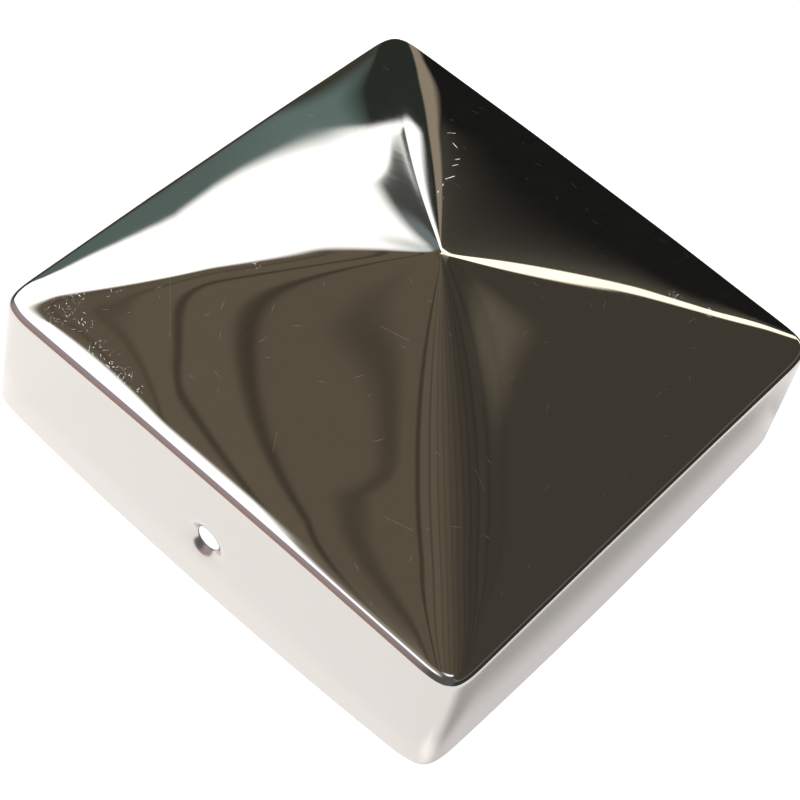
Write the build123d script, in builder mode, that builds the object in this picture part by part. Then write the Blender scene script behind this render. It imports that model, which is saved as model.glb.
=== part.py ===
from build123d import *
from math import atan, cos, degrees, sin, tan
import os

# A post cap: one sheet of stainless steel, deep drawn into a low four-sided pyramid with a skirt
# that goes over a square post. It stands on its rim at z = 0, centred on the z axis, +z up.
# Sizes are in millimetres.

# Post and sheet
post_width = 89.0         # side of the square timber post
post_clearance = 1.0      # room on each side of the post, at the top of the skirt
sheet = 0.8               # thickness of the sheet

# Skirt
skirt_height = 25.9       # from the lowest point of the rim to the edge where skirt and roof would meet
skirt_flare = 0.95        # how far each side leans out between its top and z = 0
corner_radius = 4.5       # upright corners, outside
shoulder_radius = 2.0     # bend between skirt and roof, outside
rim_rise = 1.8            # how much higher the rim is at the corners than at mid-side

# Roof
roof_rise = 16.9          # height of the pyramid above the shoulder edge
hip_radius = 3.4          # rounding of the hips half-way up, in plan
tip_width = 1.8           # blunt end of the pyramid
tip_corner_radius = 0.8   # rounding of that end's corners, in plan
tip_radius = 3.0          # bend from the roof to the blunt end, outside

# Screw holes, one in the middle of the front side and one in the middle of the back
hole_height = 11.0        # centre of the hole, above the lowest point of the rim
hole_diameter = 4.4
dimple_diameter = 7.2     # countersink pressed into the sheet, at the skin
dimple_depth = 1.2        # from the skin to the edge of the hole

# Worked out from the sizes above
top_half = post_width / 2 + post_clearance + sheet
lean = atan(skirt_flare / skirt_height)
pitch = atan(roof_rise / top_half)
dimple_angle = atan((dimple_diameter - hole_diameter) / 2 / dimple_depth)


def skirt_half(z):
    """Half the outside width of the skirt at height z."""
    return top_half + skirt_flare * (1 - z / skirt_height)


def drawn_form(inset, bottom):
    """The solid bounded by the sheet's outer skin (inset 0) or by its inner skin (inset = sheet)."""
    shoulder_z = skirt_height - inset * (1 - sin(pitch)) / cos(pitch)
    shoulder_half = skirt_half(shoulder_z) - inset
    tip_half = tip_width / 2
    tip_z = skirt_height + roof_rise - inset / cos(pitch) - tip_half * tan(pitch)
    sections = [
        (bottom, skirt_half(bottom) - inset, corner_radius - inset),
        (shoulder_z, shoulder_half, corner_radius - inset),
        ((shoulder_z + tip_z) / 2, (shoulder_half + tip_half) / 2, hip_radius - inset),
        (tip_z, tip_half, tip_corner_radius),
    ]
    with BuildPart() as form:
        for z, half, radius in sections:
            with BuildSketch(Plane.XY.offset(z)):
                RectangleRounded(2 * half, 2 * half, radius)
        loft(ruled=True)
        shoulder = form.edges().filter_by(lambda edge: abs(edge.center().Z - shoulder_z) < sheet / 10)
        fillet(shoulder, radius=shoulder_radius - inset)
        fillet(form.faces().sort_by(Axis.Z)[-1].edges(), radius=tip_radius - inset)
    return form.part


outer_form = drawn_form(0, 0)
hollow_form = drawn_form(sheet, -sheet)

with BuildPart() as post_cap:
    add(outer_form)
    add(hollow_form, mode=Mode.SUBTRACT)

    # The rim hangs in a shallow arc along each side and is level round the corners.
    straight_half = skirt_half(0) - corner_radius
    rim_reach = corner_radius + skirt_flare
    for turn in range(4):
        along = Vector(1, 0, 0).rotate(Axis.Z, 90 * turn)
        outward = Vector(0, -1, 0).rotate(Axis.Z, 90 * turn)
        with BuildSketch(Plane(outward * straight_half, x_dir=along, z_dir=outward)):
            with BuildLine():
                TangentArc((0, 0), (-straight_half, rim_rise), tangent=(-1, 0))
                TangentArc((0, 0), (straight_half, rim_rise), tangent=(1, 0))
                Polyline(
                    (straight_half, rim_rise),
                    (straight_half + rim_reach, rim_rise),
                    (straight_half + rim_reach, -sheet),
                    (-straight_half - rim_reach, -sheet),
                    (-straight_half - rim_reach, rim_rise),
                    (-straight_half, rim_rise),
                )
            make_face()
        extrude(amount=rim_reach, mode=Mode.SUBTRACT)

    # Each screw hole sits in a dimple, a cone of the same sheet pressed inwards, square to its side.
    dimple_reach = dimple_depth + sheet / sin(dimple_angle)
    cone_base = hole_diameter / 2 + (dimple_reach - sheet / 2) * tan(dimple_angle)
    for side in (-1, 1):
        skin = Plane(
            (0, side * skirt_half(hole_height), hole_height),
            x_dir=(1, 0, 0),
            z_dir=(0, side * cos(lean), sin(lean)),
        )
        with BuildSketch(skin.offset(-sheet / 2)):
            Circle(cone_base)
        extrude(amount=sheet / 2 - dimple_reach, taper=degrees(dimple_angle))
        with Locations(skin):
            CounterSinkHole(
                radius=hole_diameter / 2,
                counter_sink_radius=dimple_diameter / 2,
                depth=dimple_reach + sheet,
                counter_sink_angle=2 * degrees(dimple_angle),
            )

post_cap.part.label = "post_cap"
os.makedirs("parts", exist_ok=True)
export_step(post_cap.part, "parts/post_cap.step")
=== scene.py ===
# %% [markdown]
# # A polished post cap
# The object is a post cap: one stainless sheet, deep drawn into a low pyramid with a skirt, and polished.
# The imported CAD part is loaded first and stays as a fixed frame. Everything built here sits in that same
# frame, in metres, so nothing has to be fitted afterwards.

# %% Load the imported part
import bpy
import math
import numpy as np
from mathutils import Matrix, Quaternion, Vector


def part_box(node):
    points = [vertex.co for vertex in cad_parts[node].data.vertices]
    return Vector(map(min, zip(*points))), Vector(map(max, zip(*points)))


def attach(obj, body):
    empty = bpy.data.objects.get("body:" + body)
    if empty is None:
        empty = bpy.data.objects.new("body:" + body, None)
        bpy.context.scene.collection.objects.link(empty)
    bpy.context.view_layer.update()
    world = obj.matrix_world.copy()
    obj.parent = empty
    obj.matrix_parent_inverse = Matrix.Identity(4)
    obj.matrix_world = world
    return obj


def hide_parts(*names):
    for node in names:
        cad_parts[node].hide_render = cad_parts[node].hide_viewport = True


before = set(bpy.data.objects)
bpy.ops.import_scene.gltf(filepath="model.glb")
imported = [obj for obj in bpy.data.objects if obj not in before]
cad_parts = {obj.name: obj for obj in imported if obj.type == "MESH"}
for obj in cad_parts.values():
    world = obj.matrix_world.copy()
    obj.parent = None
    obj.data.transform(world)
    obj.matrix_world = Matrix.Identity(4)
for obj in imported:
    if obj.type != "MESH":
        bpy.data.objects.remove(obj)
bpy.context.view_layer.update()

MM = 0.001

# %% [markdown]
# ## The camera
# A camera can be placed by eye, but a mirror finish shows every degree, so place, aim, roll and lens were
# solved from the straight edges of the cap. The camera looks down on one corner and is rolled a little,
# which is why the cap seems to lean.

# %% Camera
camera_place = Vector((98.3, -182.1, 274.8)) * MM
camera_aim = Vector((8.34, -14.99, 26.69)) * MM
camera_roll = math.radians(16.28)

camera_data = bpy.data.cameras.new("camera")
camera_data.sensor_width = 36.0
camera_data.lens = 93.0
camera_data.shift_y = 0.0017
camera = bpy.data.objects.new("camera", camera_data)
camera.location = camera_place
look = (camera_aim - camera_place).to_track_quat("-Z", "Y")
camera.rotation_euler = (look @ Quaternion((0.0, 0.0, 1.0), camera_roll)).to_euler()
bpy.context.scene.collection.objects.link(camera)
bpy.context.scene.camera = camera
print("camera distance in mm:", round((camera_aim - camera_place).length / MM, 1))

# %% [markdown]
# ## The sizes
# The outer sizes come from the frame. The bends, the sheet and the dimples repeat the CAD's own values,
# because a mesh that replaces a solid has to keep its form. The roof rises half a millimetre less and the
# rim is drawn in a little at the corners, as on a sheet that has come out of the press.

# %% Sizes in millimetres
_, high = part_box("post_cap")
sheet = 0.8
skirt_height = 25.9
skirt_flare = 0.95
top_half = high.x / MM - skirt_flare
roof_rise = 16.4
roof_slope = roof_rise / top_half
corner_radius = 4.5
shoulder_radius = 2.0
rim_rise = 1.8
rim_bow = 0.3
hole_height = 11.0
hole_radius = 2.2
dimple_radius = 3.6
dimple_depth = 1.2
print("half width at the shoulder:", round(top_half, 2), "mm, roof slope:", round(roof_slope, 3))

# %% [markdown]
# ## The outline of one level
# Cut the cap at any height and the section is a square with rounded corners. A circular arc would do for
# a workshop drawing, but on a mirror the eye sees where an arc starts, because the curvature jumps there.
# So the corner is a curve whose bend fades in and out. It is written with two numbers: `across`, the
# difference of the distances to the two sides, and `bend(across)`, their sum. Two such bends are used:
# one that ends after a while, for the skirt, and one with long tails, for the soft hips of the roof.

# %% Corner bends
def short_bend(across, size):
    """Sum of the distances to two sides of a corner; the bend ends at a finite distance."""
    reach = size / (0.5 - 2 / math.pi ** 2)
    parabola = across ** 2 / (2 * reach) + reach / 2
    inside = parabola - reach / math.pi ** 2 * (1 + np.cos(math.pi * across / reach))
    return np.where(np.abs(across) < reach, inside, np.abs(across))


def long_bend(across, size, middle):
    """The same, with a bend that fades out slowly and is gone in the middle of the side."""
    tail = np.sqrt(across ** 2 + size ** 2) - np.abs(across)
    return np.abs(across) + tail * (1 - (across / middle) ** 2) ** 2


def bend_size(radius):
    """The bend that cuts a corner as deep as a circular arc of this radius does."""
    return radius * (2 - math.sqrt(2))


print("bend of the upright corners:", round(bend_size(corner_radius), 2), "mm")

# %% [markdown]
# ## Columns
# The mesh is a net: rings run round the cap and columns run from the tip to the rim. Columns are close
# together at the corners, where the sheet bends, and in the middle of each side, where the screw dimples
# sit, and further apart on the flats. One quarter of the net goes from the middle of a side, through a
# corner, to the middle of the next side, and the other three are turned copies.

# %% Columns
patch_half = 6.0
patch_columns = 8
flat_columns = 38
corner_step = 0.25


def smoothstep(value, start, end):
    share = np.clip((value - start) / (end - start), 0, 1)
    return share * share * (3 - 2 * share)


def graded(total, first, last, count):
    """Places from 0 to total: small steps of the given sizes at both ends, broad ones between."""
    share = (np.arange(count) + 0.5) / count
    ends = first + (last - first) * smoothstep(share, 0, 1)
    bulge = np.sin(math.pi * share) ** 2
    return np.concatenate([[0], np.cumsum(ends + bulge * (total - ends.sum()) / bulge.sum())])


patch_step = patch_half / patch_columns
side_half = top_half + skirt_flare / 2
corner_to_patch = graded(side_half - patch_half, corner_step, patch_step, flat_columns)
over_patch = np.linspace(side_half - patch_half, side_half, patch_columns + 1)[1:]
corner_to_middle = np.concatenate([corner_to_patch, over_patch]) / side_half
quarter = np.concatenate([-corner_to_middle[::-1], corner_to_middle[1:-1]])
quarter_count = len(quarter)
column_count = 4 * quarter_count
place_in_quarter = np.tile(quarter, 4)
print("columns:", column_count)


def outline(half, size, softness):
    """x and y of every column on one level, for a half width and a corner bend of that size."""
    across = place_in_quarter * half
    bend = (1 - softness) * short_bend(across, size) + softness * long_bend(across, size, half)
    total = 2 * half - bend
    first = np.split((total + across) / 2, 4)
    second = np.split((total - across) / 2, 4)
    x = np.concatenate([second[0], -first[1], -second[2], first[3]])
    y = np.concatenate([-first[0], -second[1], first[2], second[3]])
    return x, y


# %% [markdown]
# ## The line of the roof
# Seen from the side, the cap is a sloping roof line, a rounded shoulder and a skirt that leans out a little.
# Straight lines with a fillet would do for a drawing, but a drawn roof is never quite flat: it rolls off
# towards the shoulder, which pulls the reflections there. So the roof line sags with a soft exponential, and
# the shoulder's arc is fitted by repetition until it touches both the roof and the skirt.

# %% Roof line and shoulder
edge_sag = 0.3
sag_reach = 5.0
fitting_rounds = 30

lean = math.atan(skirt_flare / skirt_height)
virtual_tip = skirt_height + roof_slope * top_half


def roof_z(half, roof_end):
    """Height of the roof: a straight slope that rolls off a little towards the shoulder."""
    return virtual_tip - roof_slope * half - edge_sag * math.exp((half - roof_end) / sag_reach)


pitch = math.atan(roof_slope + edge_sag / sag_reach)
turn = math.pi / 2 - lean - pitch
roof_end = top_half
for _ in range(fitting_rounds):
    bend_centre_x = roof_end - shoulder_radius * math.sin(pitch)
    bend_centre_z = roof_z(roof_end, roof_end) - shoulder_radius * math.cos(pitch)
    skirt_top = bend_centre_z + shoulder_radius * math.sin(lean)
    overhang = bend_centre_x + shoulder_radius * math.cos(lean) - top_half
    roof_end -= overhang - skirt_flare * (1 - skirt_top / skirt_height)
print("half width at the end of the roof:", round(roof_end, 2), "mm, skirt top:", round(skirt_top, 2), "mm")

# %% [markdown]
# ## Rows
# A row is one ring of the net. The hips between the four faces are sharp at the tip, swell half-way down and
# are tight again at the corners, so each level has its own bend. The rim hangs lower in the middle of each
# side, so the last rows are spread between a level ring and that hanging rim.

# %% One ring
hip_swell = 15.0
hips_tighten = (0.8, 1.0)
tip_taper = 1.2
tip_roundness = 0.4
tip_reach = 4.0

straight_half = top_half + skirt_flare - corner_radius
from_middle = np.clip((1 - np.abs(place_in_quarter)) * top_half / straight_half, 0, 1)


def ring(x, y, z):
    return np.stack([x, y, np.broadcast_to(z, x.shape)], axis=1)


def roof_row(half):
    """A level of the roof."""
    share = half / roof_end
    edge_size = bend_size(corner_radius - (top_half - roof_end))
    size = share ** tip_taper * (edge_size + hip_swell * (1 - share))
    softness = 1 - smoothstep(share, *hips_tighten)
    blunt = tip_roundness * (1 - smoothstep(half, 0.0, tip_reach))
    return ring(*outline(half, size, softness), roof_z(math.hypot(half, blunt), roof_end))


def shoulder_row(angle):
    """A level of the bend between roof and skirt, by the angle of its tangent below the horizon."""
    half = bend_centre_x + shoulder_radius * math.sin(angle)
    z = bend_centre_z + shoulder_radius * math.cos(angle)
    return ring(*outline(half, bend_size(corner_radius - max(0.0, top_half - half)), 0.0), z)


def skirt_half(z, middle_share):
    """Half the width of the skirt at height z; middle_share is 1 in the middle of a side, 0 at a corner."""
    return top_half + (skirt_flare - rim_bow * (1 - middle_share)) * (1 - z / skirt_height)


def skirt_row(z):
    """A ring of the skirt, level or not."""
    half = skirt_half(z, 1 - from_middle ** 2)
    return ring(*outline(half, bend_size(corner_radius), 0.0), z)


print("width of the skirt at z = 0:", round(2 * skirt_half(0, 1), 2), "mm")

# %% Rows of the outer skin
roof_rows = 68
tip_step = 0.25
shoulder_rows = 14
upper_skirt_rows = 6
rim_rows = 6
edge_round = 0.15

roof_levels = graded(roof_end, tip_step, shoulder_radius * turn / shoulder_rows, roof_rows)[1:]
patch_top, patch_bottom = hole_height + patch_half, hole_height - patch_half
above_patch = np.linspace(skirt_top, patch_top, upper_skirt_rows + 1)[1:]
beside_patch = np.linspace(patch_top, patch_bottom, 2 * patch_columns + 1)[1:]
below_patch = rim_rise * from_middle ** 2 + edge_round - patch_bottom

rows = [roof_row(half) for half in roof_levels]
rows += [shoulder_row(pitch + turn * k / shoulder_rows) for k in range(1, shoulder_rows + 1)]
patch_first = len(rows) + len(above_patch) - 1
rows += [skirt_row(z) for z in (*above_patch, *beside_patch)]
patch_last = len(rows) - 1
rows += [skirt_row(patch_bottom + below_patch * k / rim_rows) for k in range(1, rim_rows + 1)]
outer = np.array(rows)
print("rows:", len(outer), "from", round(outer[0, 0, 2], 2), "down to", round(outer[-1, :, 2].min(), 2), "mm")

# %% [markdown]
# ## Drooping corners
# Drawing pulls most sheet into the corners, and they end up a little lower than flat faces would make them.
# Moving the finished rings down is simpler than bending each level: the drop grows along the hips, is
# strongest at the corners, and fades out down the skirt.

# %% Drooping corners
corner_droop = 0.45
droop_zone = (24.0, 46.0)
corner_roll = 0.08
roll_zone = (40.0, 46.0)

to_corner = np.sqrt(np.abs(outer[:, :, 0] * outer[:, :, 1]))
lowered = corner_droop * smoothstep(to_corner, *droop_zone) + corner_roll * smoothstep(to_corner, *roll_zone)
outer[:, :, 2] -= lowered * smoothstep(outer[:, :, 2], patch_top, skirt_top)
print("largest drop:", round(lowered.max(), 2), "mm")

# %% [markdown]
# ## The inner skin
# The cap is a sheet of even thickness, so its inside is the outside moved inwards along the normals. A
# Solidify modifier would do the same, but the dimples need both skins joined by hand, so the normals are
# worked out from the net itself: the cross product of its two directions.

# %% Rows of the inner skin
tip_clear = 1.5

along_ring = np.roll(outer, -1, axis=1) - np.roll(outer, 1, axis=1)
down_column = np.gradient(outer, axis=0)
normals = np.cross(along_ring, down_column)
normals /= np.linalg.norm(normals, axis=2, keepdims=True)
reach_of_row = np.abs(outer[:, :, :2]).max(axis=(1, 2))
first_inner = int(np.argmax(reach_of_row > tip_clear))
inner = outer[first_inner:] - sheet * normals[first_inner:]
inner[-1, :, 2] = outer[-1, :, 2]
clear_width = 2 * np.abs(inner[patch_first - first_inner, :, 0]).max()
print("inner rows:", len(inner), "clear width inside the skirt:", round(clear_width, 2), "mm")

# %% [markdown]
# ## The net as a mesh
# All vertices go into one list and all faces into another, with a third list that says which finish each
# face has. The faces where a screw dimple will sit are left out, which leaves a square window in both skins.

# %% Vertices and faces
OUTSIDE, INSIDE, CUT = 0, 1, 2
points, faces, finishes = [], [], []


def add_points(new_points):
    """Adds vertices and returns their numbers."""
    first = len(points)
    points.extend(np.asarray(new_points).tolist())
    return np.arange(first, len(points))


def add_band(ring_a, ring_b, finish, skip=()):
    """Joins two closed rings of vertices with quads, except at the places in skip."""
    for k in range(len(ring_a)):
        if k not in skip:
            after = (k + 1) % len(ring_a)
            faces.append((ring_a[k], ring_a[after], ring_b[after], ring_b[k]))
            finishes.append(finish)


outer_ids = [add_points(row) for row in outer]
inner_ids = [add_points(row) for row in inner]
window_starts = [quarter_count - patch_columns, 3 * quarter_count - patch_columns]
window = {start + k for start in window_starts for k in range(2 * patch_columns)}

tip_height = roof_z(tip_roundness, roof_end)
tip_id = add_points([(0, 0, tip_height)])[0]
for k, vertex in enumerate(outer_ids[0]):
    faces.append((tip_id, outer_ids[0][(k + 1) % column_count], vertex))
    finishes.append(OUTSIDE)
inner_tip = add_points([(0, 0, tip_height - sheet / math.cos(pitch))])[0]
for k, vertex in enumerate(inner_ids[0]):
    faces.append((inner_tip, vertex, inner_ids[0][(k + 1) % column_count]))
    finishes.append(INSIDE)
for r in range(len(outer) - 1):
    skip = window if patch_first <= r < patch_last else ()
    add_band(outer_ids[r], outer_ids[r + 1], OUTSIDE, skip)
    if r >= first_inner:
        add_band(inner_ids[r + 1 - first_inner], inner_ids[r - first_inner], INSIDE, skip)
print("vertices:", len(points), "faces:", len(faces))

# %% [markdown]
# ## The cut rim
# The rim is where the sheet was trimmed, so it shows the thickness of the steel: a narrow flat with both
# edges slightly broken. A Bevel modifier could break them, but the rings of the rim are already there, so a
# few more rings between the two skins do it and keep the net regular.

# %% Rim
outer_rim, inner_rim = outer[-1], inner[-1]
across_sheet = inner_rim - outer_rim
down = np.array([0, 0, -1.0])
last_ring = outer_ids[-1]
edge_angles = np.radians([30, 60, 90])
broken = edge_round / sheet * (1 - np.cos(edge_angles))
shares = [*broken, *(1 - broken[::-1])]
drops = edge_round * np.sin([*edge_angles, *edge_angles[::-1]])
for share, drop in zip(shares, drops):
    next_ring = add_points(outer_rim + across_sheet * share + down * drop)
    add_band(last_ring, next_ring, CUT)
    last_ring = next_ring
add_band(last_ring, inner_ids[-1], CUT)
print("lowest point:", round(min(p[2] for p in points), 3), "mm")

# %% [markdown]
# ## The screw dimples
# Each hole sits in a dimple that was pressed into the sheet, so that a countersunk screw head lies flush. A
# boolean cut would leave a sharp edge, while a pressed edge is rolled. So the dimple is turned like a pot
# from a profile of radius and depth, and its rings fill the window: from the square to a circle, down the
# dimple, through the hole and back out to the window in the inner skin.

# %% Dimple profile
def round_corners(path, radii, steps=5):
    """The stations of a path of (radius, depth) points with each inner corner rounded by an arc."""
    path = [np.array(p, float) for p in path]
    stations = [path[0]]
    for before, corner, after, radius in zip(path, path[1:], path[2:], radii):
        back = (before - corner) / np.linalg.norm(before - corner)
        on = (after - corner) / np.linalg.norm(after - corner)
        half_angle = math.acos(np.clip(back @ on, -1, 1)) / 2
        centre = corner + (back + on) / np.linalg.norm(back + on) * radius / math.sin(half_angle)
        start = corner + back * radius / math.tan(half_angle) - centre
        end = corner + on * radius / math.tan(half_angle) - centre
        sweep = math.pi - 2 * half_angle
        for k in range(steps + 1):
            turned = k / steps * sweep
            arm = (start * math.sin(sweep - turned) + end * math.sin(turned)) / math.sin(sweep)
            stations.append(centre + arm)
    stations.append(path[-1])
    return stations


dimple_edge = 3.2
lip = 0.35
back_radius = 3.3
circle_radius = 5.2
dimple_path = [
    (circle_radius, 0.0),
    (dimple_radius, 0.0),
    (hole_radius, dimple_depth),
    (hole_radius, dimple_depth + lip),
    (back_radius, sheet),
    (circle_radius, sheet),
]
stations = round_corners(dimple_path, [dimple_edge, lip / 4, lip / 4, dimple_edge / 4])
print("dimple stations:", len(stations), "reach inwards:", round(dimple_depth + lip, 2), "mm")

# %% Screw dimples
for side, start in zip((-1, 1), window_starts):
    top = [(patch_first, start + k) for k in range(2 * patch_columns)]
    left = [(patch_first + k, start + 2 * patch_columns) for k in range(2 * patch_columns)]
    bottom = [(patch_last, start + 2 * patch_columns - k) for k in range(2 * patch_columns)]
    right = [(patch_last - k, start) for k in range(2 * patch_columns)]
    loop = top + left + bottom + right
    edge = np.array([outer[r, c] for r, c in loop])
    angles = np.arctan2(edge[:, 2] - hole_height, edge[:, 0])
    outward = np.array([0, side * math.cos(lean), math.sin(lean)])

    def dimple_ring(radius, depth):
        x = radius * np.cos(angles)
        z = hole_height + radius * np.sin(angles)
        y = side * skirt_half(z, 1 - (x / straight_half) ** 2)
        return np.stack([x, y, z], axis=1) - outward * depth

    last_ring = np.array([outer_ids[r][c] for r, c in loop])
    half_way = add_points((edge + dimple_ring(circle_radius, 0)) / 2)
    add_band(last_ring, half_way, OUTSIDE)
    last_ring = half_way
    finish = OUTSIDE
    for radius, depth in stations:
        next_ring = add_points(dimple_ring(radius, depth))
        if dimple_depth <= depth and radius < hole_radius + lip / 2:
            finish = CUT
        elif finish != OUTSIDE:
            finish = INSIDE
        add_band(last_ring, next_ring, finish)
        last_ring = next_ring
    add_band(last_ring, np.array([inner_ids[r - first_inner][c] for r, c in loop]), INSIDE)
print("faces with the dimples:", len(faces))

# %% [markdown]
# ## The finished sheet
# The lists become one mesh with smooth shading and a material index on every face. The net's points inside
# the windows belong to no face, so they are left out. The mesh rides on the part's only body and takes the
# place of the plain solid.

# %% The finished sheet
used = sorted({vertex for face in faces for vertex in face})
number = {vertex: k for k, vertex in enumerate(used)}
places = np.array(points)[used] * MM
mesh = bpy.data.meshes.new("post_cap_sheet")
mesh.from_pydata(places.tolist(), [], [tuple(number[vertex] for vertex in face) for face in faces])
mesh.polygons.foreach_set("material_index", np.array(finishes, np.int32))
mesh.polygons.foreach_set("use_smooth", np.ones(len(faces), bool))
mesh.update()
cap = bpy.data.objects.new("post_cap_sheet", mesh)
bpy.context.scene.collection.objects.link(cap)
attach(cap, "root")
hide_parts("post_cap")
print("triangles:", sum(len(face) - 2 for face in faces), "points left out:", len(points) - len(used))

# %% [markdown]
# ## Helpers for nodes
# The room and the finishes are both made of shader nodes. A few short helpers keep those cells readable:
# each one adds a node, plugs sockets or plain values into it, and hands back its output.

# %% Node helpers
def put(tree, kind, **settings):
    """Adds a node with the given settings."""
    made = tree.nodes.new(kind)
    for name, value in settings.items():
        setattr(made, name, value)
    return made


def plug(tree, socket, value):
    """Links an output to a socket, or sets a plain value on it."""
    if isinstance(value, bpy.types.NodeSocket):
        tree.links.new(value, socket)
    elif isinstance(value, tuple) and len(value) == 3 and socket.type == "RGBA":
        socket.default_value = (*value, 1)
    else:
        socket.default_value = value


def maths(tree, operation, *values):
    made = put(tree, "ShaderNodeMath", operation=operation)
    for socket, value in zip(made.inputs, values):
        plug(tree, socket, value)
    return made.outputs[0]


def fade(tree, value, start, end):
    """0 before start, 1 after end, and a soft step between them; start may be the larger one."""
    made = put(tree, "ShaderNodeMapRange", interpolation_type="SMOOTHSTEP")
    for socket, given in zip(made.inputs, (value, start, end)):
        plug(tree, socket, given)
    return made.outputs[0]


def product(tree, first, *others):
    for other in others:
        first = maths(tree, "MULTIPLY", first, other)
    return first


def mixed(tree, share, first, second):
    """A mix of two colours."""
    made = put(tree, "ShaderNodeMix", data_type="RGBA")
    for name, value in (("Factor_Float", share), ("A_Color", first), ("B_Color", second)):
        plug(tree, next(socket for socket in made.inputs if socket.identifier == name), value)
    return next(socket for socket in made.outputs if socket.identifier == "Result_Color")


def ramp(tree, value, stops):
    """A colour ramp from (place, colour) stops."""
    made = put(tree, "ShaderNodeValToRGB")
    elements = made.color_ramp.elements
    while len(elements) < len(stops):
        elements.new(0.5)
    for element, (place, colour) in zip(elements, stops):
        element.position = place
        element.color = (*colour, 1)
    plug(tree, made.inputs[0], value)
    return made.outputs[0]


print("node helpers:", [helper.__name__ for helper in (put, plug, maths, fade, product, mixed, ramp)])

# %% [markdown]
# ## Polishing lines
# The press shop polishes such a cap with a belt that runs up each face, so the finest marks all point from
# the rim to the tip. Three finishes show them, the mirror outside, the duller inside and the cut rim, so
# they are a node group. Each face is unrolled first: `across` runs along the side, `along` from the tip
# over the shoulder to the rim. A noise that is squeezed across and stretched along gives the lines.

# %% Unrolling and the group of polishing lines
TO_MM = 1 / MM


def new_group(name, inputs, output):
    """A node group with number inputs and one number output."""
    group = bpy.data.node_groups.new(name, "ShaderNodeTree")
    for socket_name, value in inputs.items():
        socket = group.interface.new_socket(name=socket_name, in_out="INPUT", socket_type="NodeSocketFloat")
        socket.default_value = value
    group.interface.new_socket(name=output, in_out="OUTPUT", socket_type="NodeSocketFloat")
    return group, put(group, "NodeGroupInput").outputs, put(group, "NodeGroupOutput").inputs[output]


def unrolled(tree):
    """Two coordinates on the unrolled faces, in millimetres, and a number for each of the four faces."""
    split = put(tree, "ShaderNodeSeparateXYZ")
    plug(tree, split.inputs[0], put(tree, "ShaderNodeTexCoord").outputs["Object"])
    x, y, z = split.outputs
    far_x, far_y = maths(tree, "ABSOLUTE", x), maths(tree, "ABSOLUTE", y)
    on_x_side = maths(tree, "GREATER_THAN", far_x, far_y)
    across = maths(tree, "MULTIPLY_ADD", maths(tree, "SUBTRACT", y, x), on_x_side, x)
    outward = maths(tree, "MULTIPLY_ADD", maths(tree, "SUBTRACT", x, y), on_x_side, y)
    along = maths(tree, "SUBTRACT", maths(tree, "MAXIMUM", far_x, far_y), z)
    face = maths(tree, "MULTIPLY_ADD", on_x_side, 2.0, maths(tree, "GREATER_THAN", outward, 0.0))
    return maths(tree, "MULTIPLY", across, TO_MM), maths(tree, "MULTIPLY", along, TO_MM), face


def vector(tree, *values):
    made = put(tree, "ShaderNodeCombineXYZ")
    for socket, value in zip(made.inputs, values):
        plug(tree, socket, value)
    return made.outputs[0]


lines_group, given, lines_out = new_group("polishing_lines", {"Fineness": 6.0, "Length": 9.0}, "Lines")
across, along, face = unrolled(lines_group)
face_shift = 7.3
line_threshold = (0.46, 0.74)
streaks = put(lines_group, "ShaderNodeTexNoise")
streaks.inputs["Scale"].default_value = 1.0
streaks.inputs["Detail"].default_value = 2.0
streak_place = vector(
    lines_group,
    maths(lines_group, "MULTIPLY", across, given["Fineness"]),
    maths(lines_group, "DIVIDE", along, given["Length"]),
    maths(lines_group, "MULTIPLY", face, face_shift),
)
plug(lines_group, streaks.inputs["Vector"], streak_place)
plug(lines_group, lines_out, fade(lines_group, streaks.outputs[0], *line_threshold))
print("polishing_lines nodes:", len(lines_group.nodes))

# %% [markdown]
# ## Nicks
# A polished cap picks up short bright nicks as soon as it is handled. Each cell of a Voronoi pattern gets
# one stroke with its own angle, bend and length, and a random number decides whether it is there at all.
# Outside and inside share the pattern with different sizes, so this is a group too.

# %% The group of nicks
cell_shift = 31.7
nick_bow = 0.6
shortest_nick = 0.3
nick_sizes = {"Cell": 2.0, "Length": 0.4, "Width": 0.05, "Share": 0.5}
nicks_group, given, nicks_out = new_group("nicks", nick_sizes, "Nicks")
across, along, face = unrolled(nicks_group)
cell_place = vector(
    nicks_group,
    maths(nicks_group, "MULTIPLY_ADD", face, cell_shift, maths(nicks_group, "DIVIDE", across, given["Cell"])),
    maths(nicks_group, "DIVIDE", along, given["Cell"]),
    0.0,
)
cells = put(nicks_group, "ShaderNodeTexVoronoi", voronoi_dimensions="2D")
cells.inputs["Scale"].default_value = 1.0
plug(nicks_group, cells.inputs["Vector"], cell_place)
offset = put(nicks_group, "ShaderNodeVectorMath", operation="SUBTRACT")
plug(nicks_group, offset.inputs[0], cell_place)
plug(nicks_group, offset.inputs[1], cells.outputs["Position"])
chance = put(nicks_group, "ShaderNodeSeparateColor")
plug(nicks_group, chance.inputs[0], cells.outputs["Color"])
stroke = put(nicks_group, "ShaderNodeVectorRotate", rotation_type="Z_AXIS")
plug(nicks_group, stroke.inputs["Vector"], offset.outputs[0])
plug(nicks_group, stroke.inputs["Angle"], maths(nicks_group, "MULTIPLY", chance.outputs[0], 2 * math.pi))
stroke_split = put(nicks_group, "ShaderNodeSeparateXYZ")
plug(nicks_group, stroke_split.inputs[0], stroke.outputs[0])
stroke_u, stroke_v = stroke_split.outputs[0], stroke_split.outputs[1]
bow = maths(nicks_group, "MULTIPLY", maths(nicks_group, "SUBTRACT", chance.outputs[1], 0.5), nick_bow)
bowed = maths(nicks_group, "MULTIPLY_ADD", maths(nicks_group, "POWER", stroke_u, 2.0), bow, stroke_v)
stroke_length = maths(nicks_group, "MULTIPLY_ADD", chance.outputs[1], 1 - shortest_nick, shortest_nick)
stroke_length = maths(nicks_group, "MULTIPLY", stroke_length, given["Length"])
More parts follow.
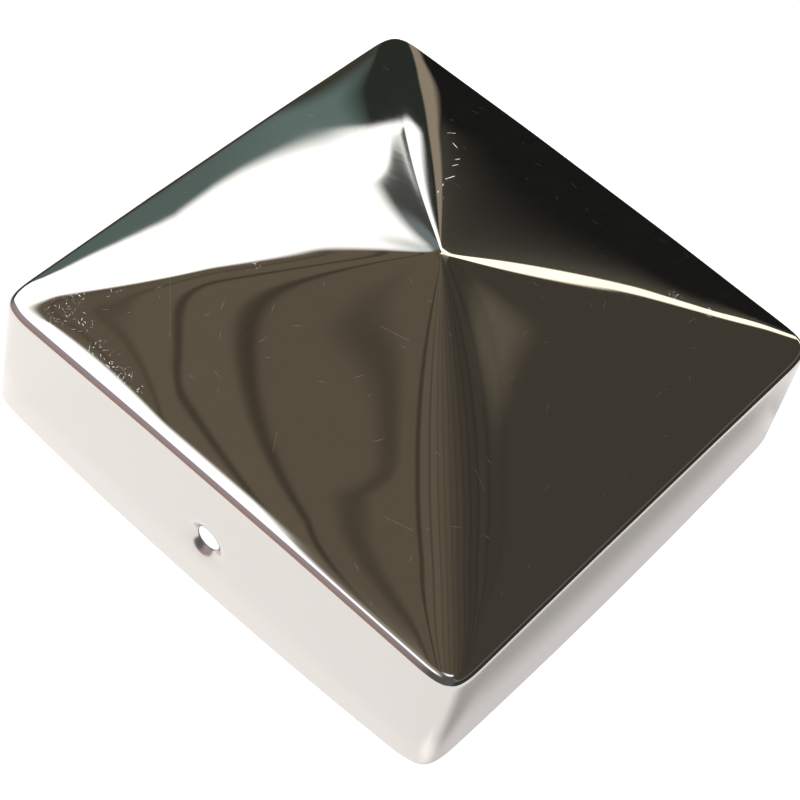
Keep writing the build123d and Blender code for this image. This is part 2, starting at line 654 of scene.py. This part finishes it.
nick = product(
    nicks_group,
    fade(nicks_group, maths(nicks_group, "ABSOLUTE", bowed), given["Width"], 0.0),
    fade(nicks_group, maths(nicks_group, "ABSOLUTE", stroke_u), stroke_length, 0.0),
    maths(nicks_group, "LESS_THAN", chance.outputs[2], given["Share"]),
)
plug(nicks_group, nicks_out, nick)
print("nicks nodes:", len(nicks_group.nodes))

# %% [markdown]
# ## Scuffs and scratches
# Some marks have their own place: scuffs at a corner, along a shoulder and beside two hips, a few single
# scratches, and a row of short deep strokes beside the back hip. An image could hold them, but the plan of
# the roof is enough: a scuff is a round spot where nicks are let through, given by its centre and reach,
# and scratches and strokes are thin lines, given by two ends and a reach. All are in millimetres.

# %% Marks on the plan
scuffs = [
    ((-37.0, -41.5), 3.2),
    ((-33.5, -41.0), 2.4),
    ((-37.5, -38.0), 2.0),
    ((-33.5, -34.5), 1.8),
    ((-28.5, -42.4), 2.0),
    ((-25.5, -42.6), 2.0),
    ((-22.5, -42.8), 2.0),
    ((-19.5, -42.8), 1.6),
    ((-20.5, -18.2), 1.4),
    ((26.0, 31.0), 2.2),
    ((31.0, 34.0), 2.2),
]
scratches = [
    ((1, -14), (6, -13), 0.05),
    ((21.5, -34.3), (26, -33.2), 0.05),
    ((-29.4, -26.9), (-21.2, -34.9), 0.04),
    ((26, -20), (29, -21), 0.05),
    ((1.0, -35.0), (2.6, -37.4), 0.05),
]
strokes = [
    ((-20.6, 28.5), (-19.9, 29.9), 0.12),
    ((-18.3, 27.0), (-17.0, 26.6), 0.12),
    ((-15.3, 22.5), (-14.8, 24.3), 0.12),
    ((-14.3, 20.3), (-13.8, 23.4), 0.11),
    ((-12.3, 17.2), (-12.0, 20.1), 0.12),
    ((-10.6, 12.8), (-12.0, 16.8), 0.12),
]


def near_spots(tree, place, spots):
    """1 in the middle of any of the spots, 0 away from all of them."""
    mask = 0.0
    for centre, reach in spots:
        distance = put(tree, "ShaderNodeVectorMath", operation="DISTANCE")
        plug(tree, distance.inputs[0], place)
        plug(tree, distance.inputs[1], (*centre, 0.0))
        mask = maths(tree, "MAXIMUM", mask, fade(tree, distance.outputs["Value"], reach, reach / 3))
    return mask


def from_line(tree, place, start, end):
    """Distance of a point on the plan from a line between two points, in millimetres."""
    start = Vector((*start, 0))
    way = Vector((*end, 0)) - start
    away = put(tree, "ShaderNodeVectorMath", operation="SUBTRACT")
    plug(tree, away.inputs[0], place)
    plug(tree, away.inputs[1], start)
    dot = put(tree, "ShaderNodeVectorMath", operation="DOT_PRODUCT")
    plug(tree, dot.inputs[0], away.outputs[0])
    plug(tree, dot.inputs[1], way / way.length_squared)
    share = maths(tree, "MINIMUM", maths(tree, "MAXIMUM", dot.outputs["Value"], 0.0), 1.0)
    nearest = put(tree, "ShaderNodeVectorMath", operation="SCALE")
    plug(tree, nearest.inputs[0], way)
    plug(tree, nearest.inputs["Scale"], share)
    distance = put(tree, "ShaderNodeVectorMath", operation="DISTANCE")
    plug(tree, distance.inputs[0], away.outputs[0])
    plug(tree, distance.inputs[1], nearest.outputs[0])
    return distance.outputs["Value"]


def near_lines(tree, place, marks):
    """1 on any of the marks, 0 away from all of them."""
    mask = 0.0
    for start, end, reach in marks:
        mask = maths(tree, "MAXIMUM", mask, fade(tree, from_line(tree, place, start, end), reach, 0.0))
    return mask


print("scuffs:", len(scuffs), "scratches:", len(scratches), "strokes:", len(strokes))

# %% [markdown]
# ## Smudges
# Hands leave soft clouds on polished steel, and the dull inside has cloudy patches too. A plain noise makes
# them, and both finishes use it with their own scale, so it is the third group.

# %% The group of smudges
smudge_threshold = (0.42, 0.72)
smudges_group, given, smudges_out = new_group("smudges", {"Scale": 50.0}, "Smudges")
cloud = put(smudges_group, "ShaderNodeTexNoise")
cloud.inputs["Detail"].default_value = 4.0
plug(smudges_group, cloud.inputs["Scale"], given["Scale"])
plug(smudges_group, cloud.inputs["Vector"], put(smudges_group, "ShaderNodeTexCoord").outputs["Object"])
plug(smudges_group, smudges_out, fade(smudges_group, cloud.outputs[0], *smudge_threshold))
print("smudges nodes:", len(smudges_group.nodes))

# %% [markdown]
# ## The three finishes
# One sheet, three finishes. The outside is a mirror: metal with very low roughness, a little more where the
# polishing lines and finger smudges are and round the pressed dimples, and dull bright nicks where it was
# struck. The inside was only drawn, so it is satin. The rim was cut and deburred, and is duller still.

# %% Helpers for finishes
STEEL = (0.64, 0.625, 0.6)
STRUCK = (0.88, 0.86, 0.83)


def new_finish(name, colour):
    """A metal material for the sheet; returns its nodes and the shader's sockets."""
    made = bpy.data.materials.new(name)
    made.use_nodes = True
    mesh.materials.append(made)
    shader = made.node_tree.nodes["Principled BSDF"]
    plug(made.node_tree, shader.inputs["Base Color"], colour)
    shader.inputs["Metallic"].default_value = 1.0
    return made.node_tree, shader.inputs


def placed(tree, group, **values):
    """Places a node group with its own values."""
    made = put(tree, "ShaderNodeGroup", node_tree=group)
    for name, value in values.items():
        made.inputs[name].default_value = value
    return made.outputs[0]


def seen_along(tree, scale):
    """The place on the cap in millimetres, flattened along an axis by a scale of 0."""
    flat = put(tree, "ShaderNodeVectorMath", operation="MULTIPLY")
    plug(tree, flat.inputs[0], put(tree, "ShaderNodeTexCoord").outputs["Object"])
    plug(tree, flat.inputs[1], scale)
    return flat.outputs[0]


polish, sockets = new_finish("polished_outside", STEEL)
print("first finish:", mesh.materials[0].name)

# %% Wear on the outside
patchy, patchy_least = 0.7, 0.3
scratch_depth, scratch_least = 0.6, 0.4
scratch_weight, stroke_weight, stray_weight = 0.25, 1.3, 0.16
mark_scale = 700.0

plan = seen_along(polish, (TO_MM, TO_MM, 0.0))
lines = placed(polish, lines_group, Fineness=6.0, Length=9.0)
patches = placed(polish, smudges_group, Scale=mark_scale)
wear = product(
    polish,
    near_spots(polish, plan, scuffs),
    placed(polish, nicks_group, Cell=0.75, Length=0.95, Width=0.11, Share=0.6),
    maths(polish, "MULTIPLY_ADD", patches, patchy, patchy_least),
)
scratched = maths(polish, "MULTIPLY_ADD", lines, scratch_depth, scratch_least)
scratched = maths(polish, "MULTIPLY", scratched, near_lines(polish, plan, scratches))
struck = product(polish, near_lines(polish, plan, strokes), patches)
stray = placed(polish, nicks_group, Cell=6.0, Length=0.25, Width=0.012, Share=0.3)
for mark, weight in ((scratched, scratch_weight), (struck, stroke_weight), (stray, stray_weight)):
    wear = maths(polish, "MULTIPLY_ADD", mark, weight, wear)
wear = maths(polish, "MINIMUM", wear, 1.0)
print("nodes for wear:", len(polish.nodes))

# %% Polished outside
mirror_rough = 0.022
line_rough, smudge_rough, pressed_rough, worn_rough = 0.01, 0.01, 0.2, 0.4
line_metal, worn_metal = -0.004, -0.75

from_hole = put(polish, "ShaderNodeVectorMath", operation="DISTANCE")
plug(polish, from_hole.inputs[0], seen_along(polish, (TO_MM, 0.0, TO_MM)))
plug(polish, from_hole.inputs[1], (0.0, 0.0, hole_height))
pressed = fade(polish, from_hole.outputs["Value"], circle_radius, dimple_radius)
smudge = placed(polish, smudges_group, Scale=45.0)
rough = mirror_rough
effects = [(lines, line_rough), (smudge, smudge_rough), (pressed, pressed_rough), (wear, worn_rough)]
for effect, amount in effects:
    rough = maths(polish, "MULTIPLY_ADD", effect, amount, rough)
plug(polish, sockets["Roughness"], rough)
metal = maths(polish, "MULTIPLY_ADD", lines, line_metal, 1.0)
plug(polish, sockets["Metallic"], maths(polish, "MULTIPLY_ADD", wear, worn_metal, metal))
plug(polish, sockets["Base Color"], mixed(polish, wear, STEEL, STRUCK))
print("polished_outside nodes:", len(polish.nodes))

# %% Drawn inside and cut edge
SATIN = (0.56, 0.55, 0.53)
CUT_STEEL, CUT_GROOVE = (0.6, 0.59, 0.57), (0.46, 0.45, 0.43)
satin_rough, satin_line_rough, satin_smudge_rough = 0.24, 0.16, 0.1
cut_rough, cut_line_rough = 0.3, 0.25

drawn, sockets = new_finish("drawn_inside", SATIN)
lines = placed(drawn, lines_group, Fineness=3.0, Length=20.0)
rough = maths(drawn, "MULTIPLY_ADD", lines, satin_line_rough, satin_rough)
smudge = placed(drawn, smudges_group, Scale=60.0)
plug(drawn, sockets["Roughness"], maths(drawn, "MULTIPLY_ADD", smudge, satin_smudge_rough, rough))
worn = placed(drawn, nicks_group, Cell=5.0, Length=0.45, Width=0.03, Share=0.4)
plug(drawn, sockets["Base Color"], mixed(drawn, worn, SATIN, STRUCK))

cut, sockets = new_finish("cut_edge", CUT_STEEL)
lines = placed(cut, lines_group, Fineness=7.0, Length=3.0)
plug(cut, sockets["Roughness"], maths(cut, "MULTIPLY_ADD", lines, cut_line_rough, cut_rough))
plug(cut, sockets["Base Color"], mixed(cut, lines, CUT_STEEL, CUT_GROOVE))
print("finishes:", [material.name for material in mesh.materials])

# %% [markdown]
# ## What the mirror sees
# Polished steel has hardly any colour of its own: almost everything the eye reads on it is a reflection.
# So the surroundings are as much a part of the finish as the material. They could be built from panels,
# but a world shader is lighter and never casts a stray shadow. It is split into a low dark band round the
# horizon, a white sky above it, a cover of dark boards overhead and a pale ground below.
#
# Directions are handled in two ways: as bearing and height in degrees for what stands round the cap, and
# as `x / z` and `y / z` for the cover, because flat boards stay straight in those.

# %% Directions
studio = bpy.data.worlds.new("studio")
bpy.context.scene.world = studio
studio.use_nodes = True
room = studio.node_tree
room.nodes.clear()

split = put(room, "ShaderNodeSeparateXYZ")
plug(room, split.inputs[0], put(room, "ShaderNodeTexCoord").outputs["Generated"])
to_x, to_y, to_z = split.outputs
bearing = maths(room, "DEGREES", maths(room, "ARCTAN2", to_y, to_x))
bearing = maths(room, "WRAP", bearing, 360.0, 0.0)
height = maths(room, "DEGREES", maths(room, "ARCSINE", to_z))
up = maths(room, "MAXIMUM", to_z, 0.02)
plan_x = maths(room, "DIVIDE", to_x, up)
plan_y = maths(room, "DIVIDE", to_y, up)
print("room nodes for directions:", len(room.nodes))

# %% [markdown]
# ## The dark band round the horizon
# Round the cap runs a band of dark and dull shapes. Its colour and the height of its skyline change with the
# bearing, so each is a colour ramp. A ramp has only 256 steps in a render, so both cover just the bearings
# behind the cap, where the mirror shows most. The band rises on the front, where it is warmer, and is plain
# brown on the right.

# %% Skyline and colours behind the cap
BLACK = (0.013, 0.013, 0.012)
TAUPE = (0.375, 0.31, 0.235)
DARK = (0.03, 0.036, 0.03)
TEAL = (0.16, 0.23, 0.215)
SEA = (0.13, 0.18, 0.165)
BROWN = (0.05, 0.045, 0.038)
FAR_LEFT, FAR_RIGHT = 160.0, 90.0
TALLEST = 20.0

band_stops = [
    (90, BROWN), (98, BLACK), (113.0, BLACK), (113.7, TAUPE), (115.9, TAUPE), (116.6, DARK),
    (139.5, DARK), (141.2, TEAL), (144.0, TEAL), (147.0, SEA), (160, SEA),
]
skyline_stops = [
    (90, 14.2), (96, 15.8), (99, 15.7), (103, 15.2), (110, 14.2), (114, 14.2), (117.5, 14.9),
    (119.2, 15.4), (121, 16.0), (123.8, 16.8), (127, 17.4), (129.8, 17.8), (133, 18.3), (136, 18.4),
    (140, 18.3), (142.5, 17.9), (144.4, 17.3), (145.6, 17.0), (146.5, 17.05), (147.2, 17.4),
    (148.2, 18.0), (149.2, 18.1), (150.4, 17.8), (151.4, 17.2), (152.2, 16.3), (153.2, 15.2), (160, 14.2),
]


def along_back(stops):
    """Stops given by bearing, as places on a ramp that runs from FAR_RIGHT to FAR_LEFT."""
    return [((place - FAR_RIGHT) / (FAR_LEFT - FAR_RIGHT), value) for place, value in stops]


behind = maths(room, "DIVIDE", maths(room, "SUBTRACT", bearing, FAR_RIGHT), FAR_LEFT - FAR_RIGHT)
band_colour = ramp(room, behind, along_back(band_stops))
skyline = ramp(room, behind, along_back([(place, (top / TALLEST,) * 3) for place, top in skyline_stops]))
skyline = maths(room, "MULTIPLY", skyline, TALLEST)
print("stops of the band:", len(band_stops), "and of its skyline:", len(skyline_stops))

# %% Front, left and right of the band
EARTH = (0.06, 0.06, 0.043)
BRICK = (0.48, 0.32, 0.25)
DUSK = (0.44, 0.38, 0.46)
SLATE = (0.13, 0.125, 0.125)
HAZE = (0.09, 0.086, 0.066)
ON_FRONT = ((180.0, 212.0), (335.0, 300.0))
FRONT_RISE = 23.0
TO_DUSK = (0.0, 18.0)
TO_SLATE = (254.0, 268.0)
ON_LEFT = ((139.0, 141.0), (190.0, 170.0))
TO_EARTH = (-3.5, -7.5)
TO_RIGHT = (315.0, 345.0)
TO_HAZE = (-5.5, -1.2)
HAZE_END = (117.0, 112.0)


def between(tree, value, fade_in, fade_out):
    """1 between a soft start and a soft end."""
    return product(tree, fade(tree, value, *fade_in), fade(tree, value, *fade_out))


on_front = between(room, bearing, *ON_FRONT)
skyline = maths(room, "MULTIPLY_ADD", on_front, FRONT_RISE, skyline)
over_skyline = maths(room, "SUBTRACT", height, skyline)
low_left = product(room, between(room, bearing, *ON_LEFT), fade(room, over_skyline, *TO_EARTH))
band_colour = mixed(room, low_left, band_colour, EARTH)
front_colour = mixed(room, fade(room, height, *TO_DUSK), BRICK, DUSK)
front_colour = mixed(room, fade(room, bearing, *TO_SLATE), front_colour, SLATE)
band_colour = mixed(room, on_front, band_colour, front_colour)
to_right = fade(room, bearing, *TO_RIGHT)
band_colour = mixed(room, to_right, band_colour, BROWN)
haze = product(room, fade(room, over_skyline, *TO_HAZE), fade(room, bearing, *HAZE_END))
band = put(room, "ShaderNodeVectorMath", operation="MAXIMUM")
plug(room, band.inputs[0], band_colour)
plug(room, band.inputs[1], mixed(room, haze, BLACK, HAZE))
print("room nodes up to the band:", len(room.nodes))

# %% [markdown]
# ## The sky
# Above the band the sky is white, warmer behind the right hip, grey on the right, dull beside the cover and
# dark low on the front. A dark finger with a soft grey head stands in the white, and a thin veil lies over
# the sky beside it. A picture of a real room would show more, but no picture is needed: each of these is one
# colour, mixed in by a soft mask.

# %% Sky
SKY = (2.0, 2.0, 1.98)
WARM_SKY = (2.1, 1.95, 1.5)
GREY_SKY = (0.2, 0.19, 0.17)
DULL_SKY = (0.36, 0.335, 0.28)
TO_WARM = (118.0, 105.0)
TO_GREY = (88.0, 72.0)
DULL_PLACE, DULL_HEIGHT = (-0.34, -0.24), (44.0, 58.0)
LOW_FRONT, LOW_FRONT_TOP = ((262.0, 290.0), (350.0, 335.0)), (70.0, 56.0)

sky = mixed(room, fade(room, bearing, *TO_WARM), SKY, WARM_SKY)
on_right = maths(room, "MAXIMUM", fade(room, bearing, *TO_GREY), to_right)
sky = mixed(room, on_right, sky, GREY_SKY)
dull = product(room, fade(room, plan_x, *DULL_PLACE), fade(room, height, *DULL_HEIGHT))
sky = mixed(room, dull, sky, DULL_SKY)
low_front = product(room, between(room, bearing, *LOW_FRONT), fade(room, height, *LOW_FRONT_TOP))
sky = mixed(room, low_front, sky, SLATE)
print("room nodes up to the sky:", len(room.nodes))

# %% Dark finger and veil
FINGER_DARK, FINGER_GREY = (0.075, 0.08, 0.07), (0.22, 0.26, 0.27)
FINGER = ((131.8, 133.0), (141.5, 140.1))
FINGER_FOOT = 18.61
FOOT_STEPS = [((132.0, 135.5), 0.4), ((137.5, 141.5), 0.5)]
FOOT_EDGE = (-0.04, 0.04)
TO_FINGER_GREY = (19.9, 20.6)
VEILED_SKY = (0.93, 0.97, 0.96)
VEIL, VEIL_HEIGHT = ((125.0, 130.0), (144.2, 141.8)), (21.0, 22.5)

finger_foot = FINGER_FOOT
for place, rise in FOOT_STEPS:
    finger_foot = maths(room, "MULTIPLY_ADD", fade(room, bearing, *place), rise, finger_foot)
over_foot = maths(room, "SUBTRACT", height, finger_foot)
finger = product(room, between(room, bearing, *FINGER), fade(room, over_foot, *FOOT_EDGE))
finger_colour = mixed(room, fade(room, height, *TO_FINGER_GREY), FINGER_DARK, FINGER_GREY)
veil = product(room, between(room, bearing, *VEIL), fade(room, height, *VEIL_HEIGHT))
sky = mixed(room, veil, sky, VEILED_SKY)
sky = mixed(room, finger, sky, finger_colour)
print("room nodes up to the finger:", len(room.nodes))

# %% Band and sky together
SKYLINE_BLUR, LEFT_BLUR, FRONT_BLUR = 0.4, 0.25, 3.0
TO_LEFT_BLUR = (138.0, 144.0)

blur = maths(room, "MULTIPLY_ADD", fade(room, bearing, *TO_LEFT_BLUR), LEFT_BLUR, SKYLINE_BLUR)
blur = maths(room, "MULTIPLY_ADD", on_front, FRONT_BLUR, blur)
is_sky = fade(room, maths(room, "DIVIDE", over_skyline, blur), -1.0, 1.0)
surround = mixed(room, is_sky, band.outputs[0], sky)
print("room nodes round the cap:", len(room.nodes))

# %% [markdown]
# ## The cover of boards
# Overhead hangs a cover of dark boards, and the bent hips squeeze its gaps into the fine lines that run down
# from the tip. An even stripe would not do, since the boards differ in width, so each gap is given by its
# place, half its width and its depth. A ramp counts the gaps that are passed: the fraction of the count tells
# how near a gap is, and the rounded count gives each board its own tone.

# %% Gaps between the boards
board_bearing = math.radians(43.1)
gaps = [
    (-0.53, 0.01, 0.25),
    (-0.478, 0.01, 0.25),
    (-0.425, 0.01, 0.5),
    (-0.37, 0.01, 0.5),
    (-0.177, 0.02, 0.5),
    (-0.093, 0.02, 0.32),
    (0.015, 0.022, 0.26),
    (0.137, 0.024, 0.22),
    (0.272, 0.026, 0.2),
    (0.4, 0.024, 0.2),
    (0.515, 0.02, 0.2),
    (0.595, 0.016, 0.2),
    (0.66, 0.013, 0.2),
    (0.71, 0.012, 0.18),
    (0.76, 0.012, 0.05),
]
BOARDS_FROM, BOARDS_TO = -0.6, 0.8
GAP_EDGE = (0.5, 0.08)

along_x, along_y = math.cos(board_bearing), math.sin(board_bearing)
across_boards = maths(room, "MULTIPLY_ADD", plan_x, along_x, maths(room, "MULTIPLY", plan_y, along_y))
along_boards = maths(room, "MULTIPLY_ADD", plan_x, along_y, maths(room, "MULTIPLY", plan_y, -along_x))
over_boards = maths(room, "SUBTRACT", across_boards, BOARDS_FROM)
over_boards = maths(room, "DIVIDE", over_boards, BOARDS_TO - BOARDS_FROM)


def along_cover(stops):
    """Stops given across the boards, as places on a ramp that runs over all of them."""
    return [((place - BOARDS_FROM) / (BOARDS_TO - BOARDS_FROM), (value,) * 3) for place, value in stops]


counts = [(BOARDS_FROM, 0.0)]
for number, (place, half_width, _) in enumerate(gaps):
    counts += [(place - half_width, number / len(gaps)), (place + half_width, (number + 1) / len(gaps))]
board_count = ramp(room, over_boards, along_cover([*counts, (BOARDS_TO, 1.0)]))
board_count = maths(room, "MULTIPLY", board_count, len(gaps))
from_gap = maths(room, "ABSOLUTE", maths(room, "SUBTRACT", maths(room, "FRACT", board_count), 0.5))
gap_depth = ramp(room, over_boards, along_cover([(place, depth) for place, _, depth in gaps]))
gap = maths(room, "MULTIPLY", fade(room, from_gap, *GAP_EDGE), gap_depth)
print("boards:", len(gaps) + 1)

# %% Tones of the boards
LEFT_BOARD, RIGHT_BOARD = (0.155, 0.125, 0.088), (0.066, 0.057, 0.044)
TO_RIGHT_BOARD = (-0.15, 0.72)
LEAST_TONE, TONE_SPREAD = 0.93, 0.14

board_colour = mixed(room, fade(room, across_boards, *TO_RIGHT_BOARD), LEFT_BOARD, RIGHT_BOARD)
tone = put(room, "ShaderNodeTexWhiteNoise", noise_dimensions="1D")
plug(room, tone.inputs["W"], maths(room, "ROUND", board_count))
shade = maths(room, "MULTIPLY_ADD", tone.outputs["Value"], TONE_SPREAD, LEAST_TONE)
shade = maths(room, "MULTIPLY", shade, maths(room, "SUBTRACT", 1.0, gap))
print("room nodes up to the boards:", len(room.nodes))

# %% A shadow and a lit patch on the boards
SHADOW_PLACE, SHADOW_DEPTH = -0.305, 0.34
SHADOW_EDGE, SHADOW_START = (0.03, 0.002), (-0.26, -0.17)
SWAY, SWAY_WIDTH = ((-0.2, -0.115), (-0.08, -0.105)), 0.05
LIT_BOARD = (0.14, 0.12, 0.087)
LIT_COS, LIT_SIN = 0.57, 0.82
LIT_U, LIT_U_EDGE = 0.452, (0.04, 0.008)
LIT_V, LIT_V_EDGE = 0.68, (0.1, 0.025)

sway = between(room, along_boards, *SWAY)
from_shadow = maths(room, "SUBTRACT", across_boards, SHADOW_PLACE)
from_shadow = maths(room, "ABSOLUTE", maths(room, "MULTIPLY_ADD", sway, -SWAY_WIDTH, from_shadow))
shadow = product(room, fade(room, from_shadow, *SHADOW_EDGE), fade(room, along_boards, *SHADOW_START))
shade = maths(room, "MULTIPLY", shade, maths(room, "MULTIPLY_ADD", shadow, -SHADOW_DEPTH, 1.0))
lit_u = maths(room, "MULTIPLY_ADD", along_boards, LIT_COS, maths(room, "MULTIPLY", across_boards, LIT_SIN))
lit_v = maths(room, "MULTIPLY_ADD", along_boards, -LIT_SIN, maths(room, "MULTIPLY", across_boards, LIT_COS))
from_lit_u = maths(room, "ABSOLUTE", maths(room, "SUBTRACT", lit_u, LIT_U))
from_lit_v = maths(room, "ABSOLUTE", maths(room, "SUBTRACT", lit_v, LIT_V))
lit = product(room, fade(room, from_lit_u, *LIT_U_EDGE), fade(room, from_lit_v, *LIT_V_EDGE))
boards = put(room, "ShaderNodeVectorMath", operation="SCALE")
plug(room, boards.inputs[0], mixed(room, lit, board_colour, LIT_BOARD))
plug(room, boards.inputs["Scale"], shade)
print("room nodes up to the lit patch:", len(room.nodes))

# %% [markdown]
# ## Where the cover ends
# The cover is cut off by four edges: on the left, on the front, at the far end and low down, where the sky
# shows under it. Each edge is a soft mask, and the product of all four is the cover. One small lamp hangs
# in it near the front, and gives the front corner its highlight.

# %% Where the cover ends
LEFT_SKEW, LEFT_EDGE = 0.045, (-0.615, -0.58)
FRONT_EDGE, FRONT_SOFT, FRONT_DULL_SOFT = -0.262, -0.277, -0.12
FAR_SKEW, FAR_EDGE = 2.94, (1.38, 1.5)
FAR_FREE_Y, FAR_FREE_X = (0.85, 0.65), (-0.6, -0.8)
LOWEST, LOWEST_RISE, LOWEST_SOFT = 19.4, 3.5, 2.4
TO_LOWEST_RISE = (104.0, 116.0)
LAMP = (1.5, 1.5, 1.6)
LAMP_ALONG = ((0.1, 0.16), (0.5, 0.4))
LAMP_ACROSS = ((-0.16, 0.0), (0.3, 0.2))

left_edge = maths(room, "MULTIPLY_ADD", along_boards, LEFT_SKEW, across_boards)
far_edge = maths(room, "MULTIPLY_ADD", plan_x, FAR_SKEW, plan_y)
inside_far = fade(room, far_edge, *FAR_EDGE)
for free in (fade(room, plan_y, *FAR_FREE_Y), fade(room, plan_x, *FAR_FREE_X)):
    inside_far = maths(room, "MAXIMUM", inside_far, free)
front_start = maths(room, "MULTIPLY_ADD", dull, FRONT_DULL_SOFT, FRONT_SOFT)
lowest = maths(room, "MULTIPLY_ADD", fade(room, bearing, *TO_LOWEST_RISE), LOWEST_RISE, LOWEST)
cover = product(
    room,
    fade(room, left_edge, *LEFT_EDGE),
    fade(room, plan_y, front_start, FRONT_EDGE),
    inside_far,
    fade(room, maths(room, "SUBTRACT", height, lowest), 0.0, LOWEST_SOFT),
)
surround = mixed(room, cover, surround, boards.outputs[0])
lamp = product(room, between(room, along_boards, *LAMP_ALONG), between(room, across_boards, *LAMP_ACROSS))
surround = mixed(room, lamp, surround, LAMP)
print("room nodes up to the cover:", len(room.nodes))

# %% The room as a whole
WHITE = (1.0, 1.0, 1.0)
PALE = (1.25, 1.22, 1.2)
TO_PALE = (-14.0, -24.0)

surround = mixed(room, fade(room, height, *TO_PALE), surround, PALE)
seen = mixed(room, put(room, "ShaderNodeLightPath").outputs["Is Camera Ray"], surround, WHITE)
background = put(room, "ShaderNodeBackground")
plug(room, background.inputs["Color"], seen)
plug(room, put(room, "ShaderNodeOutputWorld").inputs["Surface"], background.outputs[0])
bpy.context.scene.view_settings.view_transform = "Standard"
print("room nodes:", len(room.nodes))

# %% [markdown]
# ## Floor and light
# The floor is a small plain sheet, pale and rough. It glows a little, so that it stays near white to the
# camera, and it glows more close beside the cap, because the low skirt mirrors that strip. One large soft
# light stands on the left. The light itself is kept out of the mirror: the white sky stands for it there.

# %% Floor
FLOOR_SIZE = 0.23
FLOOR_COLOUR = (0.5, 0.485, 0.483)
GLOW_COLOUR = (1.0, 0.965, 0.96)
GLOW, CAMERA_GLOW = 0.35, 0.6
BESIDE = (0.0525, 0.0485)
BESIDE_GLOW, RIGHT_GLOW = 0.07, 0.24
RIGHT_SIDE = (0.045, 0.048)

bpy.ops.mesh.primitive_plane_add(size=FLOOR_SIZE)
floor = bpy.context.object
floor.name = "floor"
pale = bpy.data.materials.new("pale_floor")
pale.use_nodes = True
pale_nodes = pale.node_tree
pale_sockets = pale_nodes.nodes["Principled BSDF"].inputs
plug(pale_nodes, pale_sockets["Base Color"], FLOOR_COLOUR)
pale_sockets["Roughness"].default_value = 1.0
pale_sockets["Specular IOR Level"].default_value = 0.0
plug(pale_nodes, pale_sockets["Emission Color"], GLOW_COLOUR)
to_camera = put(pale_nodes, "ShaderNodeLightPath").outputs["Is Camera Ray"]
glow = maths(pale_nodes, "MULTIPLY_ADD", to_camera, CAMERA_GLOW, GLOW)
floor_place = put(pale_nodes, "ShaderNodeSeparateXYZ")
plug(pale_nodes, floor_place.inputs[0], put(pale_nodes, "ShaderNodeTexCoord").outputs["Object"])
floor_x, floor_y, _ = floor_place.outputs
reach_x = maths(pale_nodes, "ABSOLUTE", floor_x)
reach_y = maths(pale_nodes, "ABSOLUTE", floor_y)
from_centre = maths(pale_nodes, "MAXIMUM", reach_x, reach_y)
on_right_side = fade(pale_nodes, floor_x, *RIGHT_SIDE)
beside_glow = maths(pale_nodes, "MULTIPLY_ADD", on_right_side, RIGHT_GLOW, BESIDE_GLOW)
glow = maths(pale_nodes, "MULTIPLY_ADD", fade(pale_nodes, from_centre, *BESIDE), beside_glow, glow)
plug(pale_nodes, pale_sockets["Emission Strength"], glow)
floor.data.materials.append(pale)
print("floor:", FLOOR_SIZE, "m wide")

# %% Light
SOFTBOX_SIZE, SOFTBOX_POWER = 0.8, 34.0
SOFTBOX_PLACE = (-0.9, -0.35, 0.9)

softbox_data = bpy.data.lights.new("softbox", "AREA")
softbox_data.size = SOFTBOX_SIZE
softbox_data.energy = SOFTBOX_POWER
softbox = bpy.data.objects.new("softbox", softbox_data)
softbox.location = SOFTBOX_PLACE
softbox.rotation_euler = (-softbox.location).to_track_quat("-Z", "Y").to_euler()
softbox.visible_glossy = False
bpy.context.scene.collection.objects.link(softbox)
print("light:", softbox.name, SOFTBOX_POWER, "W")
